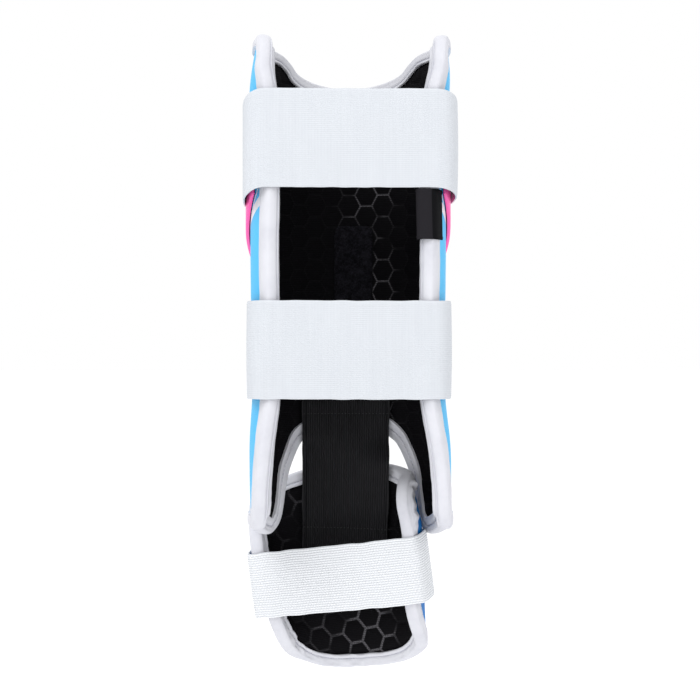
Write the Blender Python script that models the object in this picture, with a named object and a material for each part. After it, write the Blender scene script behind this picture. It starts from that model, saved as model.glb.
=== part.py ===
# A batter's leg guard: a long shin guard, a smaller foot guard that hangs from it
# on a wide elastic, and three elastic straps. Metres, +Z up.
# The origin is on the leg's axis, level with the middle strap. The guard's front
# faces +Y, and its open back, with the straps, faces -Y.

import math

import bmesh
import bpy
from mathutils import Euler, Matrix, Vector
from mathutils.bvhtree import BVHTree

# Shin guard
SHIN_TOP = 0.2090             # height of the two side wings' tops
SHIN_BOTTOM = -0.1268         # height of the two ankle wings' ends
SHIN_HALF_WIDTH = 0.0670      # outer face, at the widest
SHIN_FRONT_DEPTH = 0.0520     # from the widest plane to the outer face in front
SHIN_REAR_DEPTH = 0.0460      # from the widest plane back to the open edge
SHIN_PULL_IN = 0.0120         # how far the open edges turn in from the widest
TOP_DIP = 0.0234              # dip of the top edge in front, below the knee
ARCH_RISE = 0.0790            # rise of the bottom edge in front, over the instep
TOP_CORNER = 0.0180           # corner radius of the wings' tops
BOTTOM_CORNER = 0.0200        # corner radius of the ankle wings

# Foot guard, in its own frame before it is tilted
FOOT_LENGTH = 0.1440
FOOT_HALF_WIDTH = 0.0610
FOOT_FRONT_DEPTH = 0.0270
FOOT_REAR_DEPTH = 0.0200
FOOT_PULL_IN = 0.0020
FOOT_TOP_DROP = 0.0130        # fall of the top edge from the front to the sides
FOOT_BOTTOM_RISE = 0.0300     # rise of the bottom edge from the front to the sides
FOOT_TOP_CORNER = 0.0200
FOOT_BOTTOM_CORNER = 0.0240
FOOT_PLACE = Vector((-0.0022, 0.0310, -0.1558))
FOOT_ROLL = math.radians(7.5)     # its right side hangs higher
FOOT_YAW = math.radians(18)       # its right side hangs nearer the open back

# Walls, outermost first
SHELL_WALL = 0.0025           # moulded shell with its cloth cover
PAD_THICK = 0.0062            # foam pad at its full thickness
PAD_THIN = 0.0024             # the same pad pinched in the binding
PAD_TAPER = 0.0130            # width of the band where it thins
GAP = 0.0003                  # between touching pieces
BINDING_GAP = 0.0011          # between the binding's outer fold and the shell
EDGE_GAP = 0.0005             # round the edge, inside the fold
BINDING_WALL = 0.0013
BINDING_WIDTH = 0.0090        # how far the binding reaches in from the edge
FOOT_BINDING_WIDTH = 0.0074   # the same on the foot guard
ARCH_BINDING_WIDTH = 0.0108   # the same along the arch over the instep
TOP_BINDING_WIDTH = 0.0062    # and along the shin guard's top edge
PAD_CLEAR = 0.0012            # between the binding's inner fold and the soft pad
BINDING_ROLL = 0.0024         # how far it stands past the edge

# Raised front plate
PLATE_THICK = 0.0024
PLATE_TOP = 0.1720
PLATE_CORNER_TOP = 0.1480     # top of its two side corners
PLATE_CORNER_BOTTOM = 0.1050  # bottom of its two side corners
PLATE_POINT = -0.0200         # its lower point, in front
PLATE_REACH = 0.1200          # half its width, measured round the shell
PLATE_GAP = 0.0008            # between the plate and the shell

# Straps
STRAP_THICK = 0.0018
WIDE_STRAP = 0.0650
TOP_STRAP_HEIGHT = 0.1395     # middle of the top strap
TOP_STRAP_FALLS = (0.0040, 0.0010)    # how far its left and right sides sink forward
FOOT_STRAP_FALLS = (0.0, 0.0070)
FOOT_STRAP_SLACK = 0.0030     # how far the foot strap bows off its left side
STRAP_REACH = 0.0760          # where its ends lie, measured round from the front
STRAP_SEAT = 0.0004           # between a strap and what it lies on
CORNER_ROUND = 0.5            # 1 turns a strap's rear corners on an ellipse, less squares them
FOOT_STRAP = 0.0460
FOOT_STRAP_HEIGHT = -0.0018   # its middle, in the foot guard's frame
FOOT_STRAP_TILT = math.radians(1.0)
FOOT_STRAP_REACH = 0.0420

# Elastic that links the two guards
LINK_WIDTH = 0.0627           # at its top end
LINK_LOW_WIDTH = 0.0603       # at its lower end, where it is stretched
LINK_LEFT = -0.0318           # its straight left edge
LINK_TOP = 0.0060
LINK_BOTTOM = -0.1460
LINK_LIFT = 0.0028            # how far it is held off the pads by the bindings

# Soft fastener patch on the shin pad
PATCH_WIDTH = 0.0310
PATCH_CENTRE = 0.0054
PATCH_TOP = 0.0890
PATCH_BOTTOM = 0.0140
PATCH_CORNER = 0.0060
PATCH_THICK = 0.0010
PATCH_SEAT = 0.0006           # between the patch and the pad

# Folded side label, bare
LABEL_TOP = 0.1064
LABEL_BOTTOM = 0.0730
LABEL_THICK = 0.0005
LABEL_TAB = 0.0030            # width of its turn onto the rim
LABEL_LIFT = 0.0021           # how far it is held off the binding by its fold
LABEL_FLAT = (1.08, 0.75, 0.45, 0.15)     # its points on the binding, as shares of its width
LABEL_WRAP = 0.0090           # how far it reaches forward on the outer side

# Shares: height runs up from the guard's lowest end. Width and lean to the right are
# shares of the half width, pull and depth of the pull-in and the front depth
SHIN_SECTIONS = (
    dict(height=0.000, width=1.005, pull=0.44, depth=0.96, lean=0.020),
    dict(height=0.085, width=1.028, pull=0.52, depth=0.97, lean=0.022),
    dict(height=0.160, width=1.033, pull=0.74, depth=0.98, lean=0.020),
    dict(height=0.200, width=1.026, pull=0.86, depth=0.99, lean=0.016),
    dict(height=0.240, width=1.008, pull=0.96, depth=0.99, lean=0.010),
    dict(height=0.282, width=0.992, pull=1.05, depth=1.00, lean=0.006),
    dict(height=0.380, width=0.992, pull=1.14, depth=1.00, lean=0.000),
    dict(height=0.480, width=0.998, pull=1.10, depth=1.00, lean=0.000),
    dict(height=0.575, width=1.003, pull=1.09, depth=1.01, lean=0.000),
    dict(height=0.670, width=1.004, pull=1.15, depth=1.02, lean=0.000),
    dict(height=0.795, width=1.006, pull=1.20, depth=1.03, lean=0.000),
    dict(height=0.865, width=1.018, pull=1.15, depth=1.04, lean=0.006),
    dict(height=0.904, width=1.026, pull=1.07, depth=1.04, lean=0.014),
    dict(height=0.943, width=1.015, pull=0.90, depth=1.05, lean=0.024),
    dict(height=1.000, width=0.975, pull=0.80, depth=1.05, lean=0.034),
)
# Shares of the half girth, from the front round to the open edge
SHIN_TOP_EDGE = (
    dict(round=0.000, dip=1.00), dict(round=0.090, dip=0.965), dict(round=0.172, dip=0.87),
    dict(round=0.230, dip=0.77), dict(round=0.309, dip=0.56), dict(round=0.360, dip=0.30),
    dict(round=0.430, dip=0.08), dict(round=0.540, dip=0.01), dict(round=1.000, dip=0.00),
)
SHIN_BOTTOM_EDGE = (
    dict(round=0.000, rise=1.000), dict(round=0.070, rise=0.985), dict(round=0.140, rise=0.935),
    dict(round=0.200, rise=0.875), dict(round=0.240, rise=0.830), dict(round=0.280, rise=0.765),
    dict(round=0.347, rise=0.539), dict(round=0.374, rise=0.382), dict(round=0.396, rise=0.215),
    dict(round=0.420, rise=0.100), dict(round=0.467, rise=0.022), dict(round=0.510, rise=0.000),
    dict(round=0.610, rise=0.050), dict(round=0.667, rise=0.087), dict(round=0.800, rise=0.106),
    dict(round=1.000, rise=0.106),
)
FOOT_SECTIONS = (
    dict(height=0.00, width=0.77, pull=1.0, depth=0.94, lean=0.02),
    dict(height=0.12, width=0.84, pull=1.0, depth=0.97, lean=0.02),
    dict(height=0.28, width=0.89, pull=1.0, depth=1.00, lean=0.01),
    dict(height=0.46, width=0.94, pull=1.0, depth=1.00, lean=0.00),
    dict(height=0.66, width=0.99, pull=1.0, depth=1.00, lean=0.00),
    dict(height=0.85, width=0.96, pull=1.0, depth=1.00, lean=0.00),
    dict(height=1.00, width=0.92, pull=1.0, depth=1.00, lean=0.00),
)
FOOT_TOP_EDGE = (
    dict(round=0.00, dip=0.00), dict(round=0.25, dip=0.10), dict(round=0.50, dip=0.40),
    dict(round=0.75, dip=0.80), dict(round=1.00, dip=1.00),
)
FOOT_BOTTOM_EDGE = (
    dict(round=0.00, rise=0.00), dict(round=0.25, rise=0.02), dict(round=0.50, rise=0.14),
    dict(round=0.75, rise=0.50), dict(round=1.00, rise=1.00),
)

# How finely the walls are divided
SHIN_COLUMNS = (0.0, 0.09, 0.17, 0.24, 0.29, 0.335, 0.37, 0.40, 0.45, 0.53, 0.62, 0.72, 0.81)
FOOT_COLUMNS = (0.0, 0.14, 0.28, 0.42, 0.53, 0.62, 0.69, 0.74)
CORNER_STEPS = 4
CORNER_SPAN = 0.0200          # next to the open edge, where columns follow the corners
EDGE_ROWS = (0.0, 0.006, 0.013)
SHIN_ROWS = (0.10, 0.18, 0.26, 0.37, 0.50, 0.63, 0.76, 0.88)
FOOT_ROWS = (0.33, 0.67)
STRAP_STEPS = 9
PLATE_ROWS = 6
PATCH_STEPS = 6
LINK_COLUMNS = 6
LINK_ROWS = 14
LABEL_ROWS = 3

COLOURS = {
    "sky_blue": (0.10, 0.50, 0.95, 1), "pink": (0.95, 0.12, 0.42, 1),
    "white": (0.85, 0.86, 0.90, 1), "black": (0.012, 0.012, 0.014, 1),
}


def finish(name, colour, roughness):
    """Give a named material of one colour."""
    material = bpy.data.materials.new(name)
    material.use_nodes = True
    shader = material.node_tree.nodes["Principled BSDF"]
    shader.inputs["Base Color"].default_value = COLOURS[colour]
    shader.inputs["Roughness"].default_value = roughness
    shader.inputs["Metallic"].default_value = 0.0
    return material


def read(table, key, column, share):
    """Read a column of a table at any share, on one smooth curve."""
    xs = [row[key] for row in table]
    ys = [row[column] for row in table]
    last = len(xs) - 1
    share = min(max(share, xs[0]), xs[-1])
    i = next(k for k in range(last) if share <= xs[k + 1])

    def slope(k):
        low, high = max(k - 1, 0), min(k + 1, last)
        return (ys[high] - ys[low]) / (xs[high] - xs[low])

    step = xs[i + 1] - xs[i]
    t = (share - xs[i]) / step
    return ((1 + 2 * t) * (1 - t) ** 2 * ys[i] + t * (1 - t) ** 2 * step * slope(i)
            + t * t * (3 - 2 * t) * ys[i + 1] + t * t * (t - 1) * step * slope(i + 1))


def smooth(t):
    """Ease from 0 to 1."""
    t = min(max(t, 0.0), 1.0)
    return t * t * (3 - 2 * t)


class Guard:
    """A padded guard that wraps round the leg: one curved sheet with an outline.

    round is measured along the outer face from the front's middle line, positive to
    the right, and height is along Z in the guard's own frame.
    """

    def __init__(self, size, sections, top_edge, bottom_edge, columns, rows):
        self.size = size
        self.sections = sections
        self.top_edge = top_edge
        self.bottom_edge = bottom_edge
        self.columns = columns
        self.rows = rows
        self.arc = self.measure_front()
        self.girth = self.arc[-1] + size["rear"]

    def measure_front(self, steps=60):
        """Lengths along the front's quarter curve, for equal steps of its angle."""
        lengths = [0.0]
        for k in range(steps):
            angle = (k + 0.5) / steps * math.pi / 2
            speed = math.hypot(self.size["half_width"] * math.cos(angle),
                               self.size["front"] * math.sin(angle))
            lengths.append(lengths[-1] + speed * math.pi / 2 / steps)
        return lengths

    def angle(self, length):
        """The front curve's angle at a length along it."""
        steps = len(self.arc) - 1
        k = next((n for n in range(steps) if length <= self.arc[n + 1]), steps - 1)
        part = (length - self.arc[k]) / (self.arc[k + 1] - self.arc[k])
        return (k + part) / steps * math.pi / 2

    def outer(self, around, height):
        """A point of the outer face."""
        size = self.size
        share = (height - size["bottom"]) / (size["top"] - size["bottom"])
        half = size["half_width"] * read(self.sections, "height", "width", share)
        pull = size["pull"] * read(self.sections, "height", "pull", share)
        front = size["front"] * read(self.sections, "height", "depth", share)
        lean = size["half_width"] * read(self.sections, "height", "lean", share)
        side = math.copysign(1.0, around)
        length = abs(around)
        if length <= self.arc[-1]:
            angle = self.angle(length)
            return Vector((lean + side * half * math.sin(angle), front * math.cos(angle), height))
        back = (length - self.arc[-1]) / size["rear"]
        return Vector((lean + side * (half - pull * back * back), -size["rear"] * back, height))

    def normal(self, around, height, step=0.0008):
        """The outer face's direction outwards."""
        across = self.outer(around + step, height) - self.outer(around - step, height)
        up = self.outer(around, height + step) - self.outer(around, height - step)
        return up.cross(across).normalized()

    def point(self, around, height, inset):
        """A point inset from the outer face, or proud of it where inset is negative."""
        return self.outer(around, height) - self.normal(around, height) * inset

    def top(self, around):
        share = abs(around) / self.girth
        edge = self.size["top"] - self.size["dip"] * read(self.top_edge, "round", "dip", share)
        return edge - self.corner(around, self.size["top_corner"])

    def bottom(self, around):
        share = abs(around) / self.girth
        edge = self.size["bottom"] + self.size["rise"] * read(self.bottom_edge, "round", "rise", share)
        return edge + self.corner(around, self.size["bottom_corner"])

    def corner(self, around, radius):
        """How much a round corner takes off at the open edge."""
        short = radius - (self.girth - abs(around))
        if short <= 0:
            return 0.0
        return radius - math.sqrt(max(radius * radius - short * short, 0.0))

    def stations(self):
        """Where the columns stand, from the left open edge round to the right one."""
        plain = [share * self.girth for share in self.columns]
        turned = [self.girth - CORNER_SPAN * (1 - math.sin(k / CORNER_STEPS * math.pi / 2))
                  for k in range(CORNER_STEPS + 1)]
        half = plain + turned
        return [-s for s in reversed(half[1:])] + half

    def heights(self, around):
        """Heights of one column's rows, closer together near both edges."""
        low, high = self.bottom(around), self.top(around)
        inner_low, inner_high = low + EDGE_ROWS[-1], high - EDGE_ROWS[-1]
        middle = [inner_low + (inner_high - inner_low) * share for share in self.rows]
        return [low + d for d in EDGE_ROWS] + middle + [high - d for d in reversed(EDGE_ROWS)]

    def outline(self):
        """The edge as (round, height) pairs, once round, starting at the bottom left."""
        stations = self.stations()
        lower = [(s, self.bottom(s)) for s in stations]
        upper = [(s, self.top(s)) for s in reversed(stations)]
        right = [(stations[-1], z) for z in self.heights(stations[-1])[1:-1]]
        left = [(stations[0], z) for z in reversed(self.heights(stations[0])[1:-1])]
        return lower + right + upper + left

    def pad(self, around, height):
        """The pad's thickness, which thins towards the edge."""
        edge = min(math.hypot(around - s, height - z) for s, z in self.edge_points())
        return PAD_THIN + (PAD_THICK - PAD_THIN) * smooth(edge / PAD_TAPER)

    def edge_points(self, steps=4):
        """The outline with points in between, kept once it is worked out."""
        if not hasattr(self, "dense"):
            loop = self.outline()
            self.dense = [(a[0] + (b[0] - a[0]) * k / steps, a[1] + (b[1] - a[1]) * k / steps)
                          for a, b in zip(loop, loop[1:] + loop[:1]) for k in range(steps)]
        return self.dense

    def binding_width(self, around, height):
        """How far the binding reaches in: more along the arch, less along the top."""
        if not self.size["arched"]:
            return FOOT_BINDING_WIDTH
        share = abs(around) / self.girth
        upper = height - self.size["top"] + self.size["dip"]
        if upper > 0:
            return BINDING_WIDTH + (TOP_BINDING_WIDTH - BINDING_WIDTH) * smooth(upper / 0.012)
        arch = smooth((0.55 - share) / 0.10) if height < 0 else 0.0
        return BINDING_WIDTH + (ARCH_BINDING_WIDTH - BINDING_WIDTH) * arch

    def pad_face(self, around, height):
        """Inset of the pad's inner face."""
        return SHELL_WALL + GAP + self.pad(around, height)


shin = Guard(
    dict(top=SHIN_TOP, bottom=SHIN_BOTTOM, half_width=SHIN_HALF_WIDTH, front=SHIN_FRONT_DEPTH,
         rear=SHIN_REAR_DEPTH, pull=SHIN_PULL_IN, dip=TOP_DIP, rise=ARCH_RISE,
         top_corner=TOP_CORNER, bottom_corner=BOTTOM_CORNER, arched=True),
    SHIN_SECTIONS, SHIN_TOP_EDGE, SHIN_BOTTOM_EDGE, SHIN_COLUMNS, SHIN_ROWS)
foot = Guard(
    dict(top=FOOT_LENGTH / 2, bottom=-FOOT_LENGTH / 2, half_width=FOOT_HALF_WIDTH,
         front=FOOT_FRONT_DEPTH, rear=FOOT_REAR_DEPTH, pull=FOOT_PULL_IN, dip=FOOT_TOP_DROP,
         rise=FOOT_BOTTOM_RISE, top_corner=FOOT_TOP_CORNER, bottom_corner=FOOT_BOTTOM_CORNER,
         arched=False),
    FOOT_SECTIONS, FOOT_TOP_EDGE, FOOT_BOTTOM_EDGE, FOOT_COLUMNS, FOOT_ROWS)
FOOT_TURN = Matrix.Translation(FOOT_PLACE) @ Euler((0, -FOOT_ROLL, 0)).to_matrix().to_4x4() \
    @ Euler((0, 0, -FOOT_YAW)).to_matrix().to_4x4()


def make_object(name, rings, faces, material, turn=None):
    """Make one closed body from rows of points and faces given by their indices."""
    mesh = bpy.data.meshes.new(name)
    body = bmesh.new()
    verts = [body.verts.new(point) for ring in rings for point in ring]
    for face in faces:
        body.faces.new([verts[k] for k in face])
    bmesh.ops.recalc_face_normals(body, faces=body.faces)
    if turn is not None:
        body.transform(turn)
    body.to_mesh(mesh)
    body.free()
    mesh.materials.append(material)
    mesh.shade_smooth()
    mesh.set_sharp_from_angle(angle=math.radians(50))
    piece = bpy.data.objects.new(name, mesh)
    bpy.context.collection.objects.link(piece)
    return piece


def wall(name, columns, material, turn=None):
    """A wall between two grids: columns of (outer point, inner point) pairs."""
    wide, tall = len(columns), len(columns[0])
    outer = [[pair[0] for pair in column] for column in columns]
    inner = [[pair[1] for pair in column] for column in columns]

    def at(side, i, j):
        return (side * wide + i) * tall + j

    faces = []
    for i in range(wide - 1):
        for j in range(tall - 1):
            faces.append((at(0, i, j), at(0, i + 1, j), at(0, i + 1, j + 1), at(0, i, j + 1)))
            faces.append((at(1, i, j), at(1, i, j + 1), at(1, i + 1, j + 1), at(1, i + 1, j)))
    rim = [(i, 0) for i in range(wide - 1)] + [(wide - 1, j) for j in range(tall - 1)] \
        + [(i, tall - 1) for i in range(wide - 1, 0, -1)] + [(0, j) for j in range(tall - 1, 0, -1)]
    for a, b in zip(rim, rim[1:] + rim[:1]):
        faces.append((at(0, *a), at(1, *a), at(1, *b), at(0, *b)))
    return make_object(name, outer + inner, faces, material, turn)


def sweep(name, rings, material, closed, turn=None):
    """A body swept through rings of points, closed on itself or capped at both ends."""
    count, sides = len(rings), len(rings[0])
    faces = []
    for i in range(count if closed else count - 1):
        for k in range(sides):
            a, b = i * sides, (i + 1) % count * sides
            faces.append((a + k, b + k, b + (k + 1) % sides, a + (k + 1) % sides))
    if not closed:
        faces.append(tuple(range(sides)))
        faces.append(tuple((count - 1) * sides + k for k in range(sides)))
    return make_object(name, rings, faces, material, turn)


def build_shell(guard, name, material, turn=None):
    columns = [[(guard.point(s, z, 0.0), guard.point(s, z, SHELL_WALL))
                for z in guard.heights(s)] for s in guard.stations()]
    return wall(name, columns, material, turn)


def build_pad(guard, name, material, turn=None):
    columns = [[(guard.point(s, z, SHELL_WALL + GAP), guard.point(s, z, guard.pad_face(s, z)))
                for z in guard.heights(s)] for s in guard.stations()]
    return wall(name, columns, material, turn)


def build_binding(guard, name, material, turn=None):
    """The folded tape round the whole edge, with the shell and the pad held in it."""
    loop = guard.outline()
    edge_inset = SHELL_WALL + GAP + PAD_THIN
    middle = edge_inset / 2
    rings = []
    for k, (s, z) in enumerate(loop):
        width = guard.binding_width(s, z)
        before, after = loop[k - 1], loop[(k + 1) % len(loop)]
        along = Vector((after[0] - before[0], after[1] - before[1])).normalized()
        out = Vector((along.y, -along.x))
        at_edge = guard.point(s, z, 0.0)
        normal = guard.normal(s, z)
        probe = guard.point(s + out.x * 0.001, z + out.y * 0.001, 0.0) - at_edge
        away = (probe - normal * probe.dot(normal)).normalized()

        def past(distance, inset):
            return at_edge + away * distance - normal * inset

        def within(distance, inset=None):
            u, v = s - out.x * distance, z - out.y * distance
            face = guard.pad_face(u, v) if inset is None else inset
            extra = PAD_CLEAR if inset is None else 0.0
            return guard.point(u, v, face + extra)

        def flange(distance):
            u, v = s - out.x * distance, z - out.y * distance
            return guard.point(u, v, guard.pad_face(u, v) + PAD_CLEAR + BINDING_WALL)

        rings.append([
            within(width, -BINDING_GAP),
            within(width, -BINDING_GAP - BINDING_WALL),
            within(width * 0.4, -BINDING_GAP - BINDING_WALL * 1.2),
            past(EDGE_GAP * 0.5, -BINDING_GAP - BINDING_WALL),
            past(BINDING_ROLL * 0.85, middle - edge_inset * 0.45),
            past(BINDING_ROLL, middle + edge_inset * 0.15),
            past(BINDING_ROLL * 0.75, edge_inset + BINDING_WALL * 0.6),
            past(0.0, edge_inset + PAD_CLEAR + BINDING_WALL),
            flange(width * 0.5),
            flange(width),
            within(width),
            within(width * 0.5),
            past(EDGE_GAP, edge_inset + EDGE_GAP),
            past(EDGE_GAP, -EDGE_GAP),
        ])
    return sweep(name, rings, material, True, turn)


def build_plate(name, material):
    """The raised plate on the shin guard's front, a shield that points down."""
    columns = []
    for s in (s for s in shin.stations() if abs(s) <= PLATE_REACH):
        part = abs(s) / PLATE_REACH
        low = PLATE_POINT + (PLATE_CORNER_BOTTOM - PLATE_POINT) * part
        high = PLATE_TOP + (PLATE_CORNER_TOP - PLATE_TOP) * part * part
        heights = [low + (high - low) * k / PLATE_ROWS for k in range(PLATE_ROWS + 1)]
        columns.append([(shin.point(s, z, -PLATE_GAP - PLATE_THICK), shin.point(s, z, -PLATE_GAP))
                        for z in heights])
    return wall(name, columns, material)


def build_patch(name, material):
    """The soft patch on the inside of the shin pad, with round corners."""
    columns = []
    for k in range(PATCH_STEPS + 1):
        s = PATCH_CENTRE + PATCH_WIDTH * (k / PATCH_STEPS - 0.5)
        short = max(PATCH_CORNER - min(k, PATCH_STEPS - k) / PATCH_STEPS * PATCH_WIDTH, 0.0)
        cut = PATCH_CORNER - math.sqrt(max(PATCH_CORNER ** 2 - short ** 2, 0.0))
        low, high = PATCH_BOTTOM + cut, PATCH_TOP - cut
        column = []
        for n in range(PATCH_STEPS + 1):
            z = low + (high - low) * n / PATCH_STEPS
            face = shin.pad_face(s, z) + PATCH_SEAT
            column.append((shin.point(s, z, face), shin.point(s, z, face + PATCH_THICK)))
        columns.append(column)
    return wall(name, columns, material)


def strap_side(guard, side, reach, end_seat, stand, height):
    """A strap's inner face seen from above, from one end to the middle of the back."""
    widest = guard.arc[-1]
    half = guard.outer(side * widest, height).x + side * stand
    flat = guard.outer(side * guard.girth, height).x - side * BINDING_ROLL
    rear = guard.size["rear"] + BINDING_ROLL + STRAP_SEAT
    path = []
    for k in range(STRAP_STEPS):
        part = k / STRAP_STEPS
        s = reach + (widest - reach) * part
        path.append(guard.point(side * s, height, -end_seat - (stand - end_seat) * smooth(part)).xy)
    for k in range(STRAP_STEPS + 1):
        angle = math.pi / 2 * (1 - k / STRAP_STEPS)
        across, back = (max(share, 0.0) ** CORNER_ROUND for share in (math.sin(angle), math.cos(angle)))
        path.append(Vector((flat + (half - flat) * across, -rear * back)))
    return path


def build_strap(name, guard, reach, end_seat, stands, falls, height, width, material,
                turn=None, tilt=0.0):
    """An elastic strap: stands are how far its left and right sides keep off the shell,
    and falls are how far they sink on their way forward from the rear corners."""
    widest_height = height + width / 2
    left, right = (strap_side(guard, side, reach, end_seat, stand, widest_height)
                   for side, stand in zip((-1, 1), stands))
    path = right + list(reversed(left))
    rings = []
    for k, place in enumerate(path):
        ahead = path[min(k + 1, len(path) - 1)] - path[max(k - 1, 0)]
        out = Vector((-ahead.y, ahead.x)).normalized()
        if out.dot(place) < 0:
            out.negate()
        face = place + out * STRAP_THICK
        forward = smooth(1 + place.y / guard.size["rear"])
        middle = height + place.x * math.tan(tilt) - falls[place.x > 0] * forward
        low, high = middle - width / 2, middle + width / 2
        rings.append([Vector((*place, low)), Vector((*face, low)),
                      Vector((*face, high)), Vector((*place, high))])
    return sweep(name, rings, material, False, turn)


def pad_sheet(guard, low, high, turn=None):
    """The pad's full inner face as a search tree, carried on past the guard's edges."""
    reach = LINK_WIDTH
    points = []
    for i in range(17):
        s = reach * (i / 8 - 1)
        for j in range(13):
            z = low + (high - low) * j / 12
            point = guard.point(s, z, SHELL_WALL + GAP + PAD_THICK)
            points.append(turn @ point if turn is not None else point)
    faces = [(i * 13 + j, (i + 1) * 13 + j, (i + 1) * 13 + j + 1, i * 13 + j + 1)
             for i in range(16) for j in range(12)]
    return BVHTree.FromPolygons(points, faces)


def build_link(name, material):
    """The wide elastic, sewn to both pads and bridging the space between them."""
    shin_face = pad_sheet(shin, SHIN_BOTTOM, 2 * LINK_TOP)
    foot_face = pad_sheet(foot, -FOOT_LENGTH / 2, FOOT_LENGTH / 2 + BINDING_WIDTH, FOOT_TURN)
    half = LINK_WIDTH / 2
    shin_end = shin.bottom(half + abs(LINK_LEFT + half)) - BINDING_ROLL
    foot_top = max((FOOT_TURN @ foot.point(s, foot.top(s), 0.0)).z for s in (-half, 0.0, half))
    foot_start = foot_top + BINDING_ROLL

    def face(which, x, z, part):
        hit = which.ray_cast(Vector((x, -SHIN_REAR_DEPTH, z)), Vector((0, 1, 0)))[0]
        return hit.y - STRAP_SEAT - LINK_LIFT * smooth(part)

    columns = []
    for k in range(LINK_COLUMNS + 1):
        column = []
        for n in range(LINK_ROWS + 1):
            z = LINK_TOP + (LINK_BOTTOM - LINK_TOP) * n / LINK_ROWS
            width = LINK_WIDTH + (LINK_LOW_WIDTH - LINK_WIDTH) * n / LINK_ROWS
            x = LINK_LEFT + width * k / LINK_COLUMNS
            if z >= shin_end:
                y = face(shin_face, x, z, 2 * (LINK_TOP - z) / (LINK_TOP - shin_end))
            elif z <= foot_start:
                y = face(foot_face, x, z, 2 * (z - LINK_BOTTOM) / (foot_start - LINK_BOTTOM))
            else:
                part = smooth((shin_end - z) / (shin_end - foot_start))
                y = face(shin_face, x, shin_end, 1) * (1 - part) + face(foot_face, x, foot_start, 1) * part
            column.append((Vector((x, y, z)), Vector((x, y - STRAP_THICK, z))))
        columns.append(column)
    return wall(name, columns, material)


def build_label(name, material):
    """A bare folded label: a tab towards the middle, and a turn over the binding."""
    rear = -SHIN_REAR_DEPTH - BINDING_ROLL - 2 * STRAP_SEAT
    proud = BINDING_GAP + BINDING_WALL * 1.2 + STRAP_SEAT

    def line(height):
        rim = shin.outer(shin.girth, height).x
        inner = rim - SHELL_WALL - GAP - PAD_THIN - PAD_CLEAR - BINDING_WALL - LABEL_LIFT
        places = []
        for share in LABEL_FLAT:
            s = shin.girth - BINDING_WIDTH * share
            over = shin.pad_face(s, height) + PAD_CLEAR + BINDING_WALL + LABEL_LIFT
            places.append(shin.point(s, height, over).xy)
        places += [(inner, rear + BINDING_ROLL), (inner + LABEL_TAB, rear), (rim - GAP, rear),
                   (rim + proud, rear + BINDING_ROLL)]
        places += [shin.point(shin.girth - LABEL_WRAP * k / 3, height, -proud).xy for k in (1, 2, 3)]
        return [Vector((*place, height)) for place in places]

    lines = [line(LABEL_BOTTOM + (LABEL_TOP - LABEL_BOTTOM) * k / LABEL_ROWS)
             for k in range(LABEL_ROWS + 1)]
    columns = []
    for k in range(len(lines[0])):
        column = []
        for row in lines:
            ahead = row[min(k + 1, len(row) - 1)] - row[max(k - 1, 0)]
            out = Vector((ahead.y, -ahead.x, 0.0)).normalized()
            column.append((row[k] + out * LABEL_THICK, row[k]))
        columns.append(column)
    return wall(name, columns, material)


def main():
    for old in list(bpy.data.objects):
        bpy.data.objects.remove(old)
    blue = finish("blue_cover", "sky_blue", 0.55)
    pink = finish("pink_plate", "pink", 0.45)
    elastic = finish("white_elastic", "white", 0.85)
    tape = finish("white_binding", "white", 0.75)
    mesh = finish("black_pad", "black", 0.75)
    dark_elastic = finish("black_elastic", "black", 0.70)

    build_shell(shin, "shin_shell", blue)
    build_pad(shin, "shin_pad", mesh)
    build_binding(shin, "shin_binding", tape)
    build_plate("shin_plate", pink)
    build_patch("fastener_patch", mesh)
    over_binding = BINDING_GAP + BINDING_WALL * 1.2 + STRAP_SEAT
    over_plate = PLATE_GAP + PLATE_THICK + STRAP_SEAT
    build_strap("top_strap", shin, STRAP_REACH, over_plate, (over_plate, over_plate),
                TOP_STRAP_FALLS, TOP_STRAP_HEIGHT, WIDE_STRAP, elastic)
    build_strap("middle_strap", shin, STRAP_REACH, STRAP_SEAT, (over_plate, over_plate),
                (0.0, 0.0), 0.0, WIDE_STRAP, elastic)
    build_label("side_label", dark_elastic)

    build_shell(foot, "foot_shell", blue, FOOT_TURN)
    build_pad(foot, "foot_pad", mesh, FOOT_TURN)
    build_binding(foot, "foot_binding", tape, FOOT_TURN)
    build_strap("foot_strap", foot, FOOT_STRAP_REACH, STRAP_SEAT,
                (over_binding + FOOT_STRAP_SLACK, over_binding), FOOT_STRAP_FALLS,
                FOOT_STRAP_HEIGHT, FOOT_STRAP, elastic, FOOT_TURN, FOOT_STRAP_TILT)
    build_link("link_strap", dark_elastic)


main()
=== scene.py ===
import math

import bmesh
import bpy
import numpy as np
from mathutils import Euler, Matrix, Vector
from mathutils.bvhtree import BVHTree


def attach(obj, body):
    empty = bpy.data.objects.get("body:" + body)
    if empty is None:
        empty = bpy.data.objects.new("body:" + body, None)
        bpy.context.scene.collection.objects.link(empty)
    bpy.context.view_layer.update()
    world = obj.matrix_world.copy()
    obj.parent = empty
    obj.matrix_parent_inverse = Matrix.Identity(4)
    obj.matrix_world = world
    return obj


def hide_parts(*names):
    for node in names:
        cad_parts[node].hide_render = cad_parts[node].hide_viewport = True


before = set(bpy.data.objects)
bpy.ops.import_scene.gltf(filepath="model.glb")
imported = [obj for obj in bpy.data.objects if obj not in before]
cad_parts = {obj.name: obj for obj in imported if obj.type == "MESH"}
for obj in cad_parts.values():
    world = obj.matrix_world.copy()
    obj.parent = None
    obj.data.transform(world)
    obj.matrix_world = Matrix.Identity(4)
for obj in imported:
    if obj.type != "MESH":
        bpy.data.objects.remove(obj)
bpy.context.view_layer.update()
print("frame loaded:", len(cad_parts), "nodes")

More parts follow.
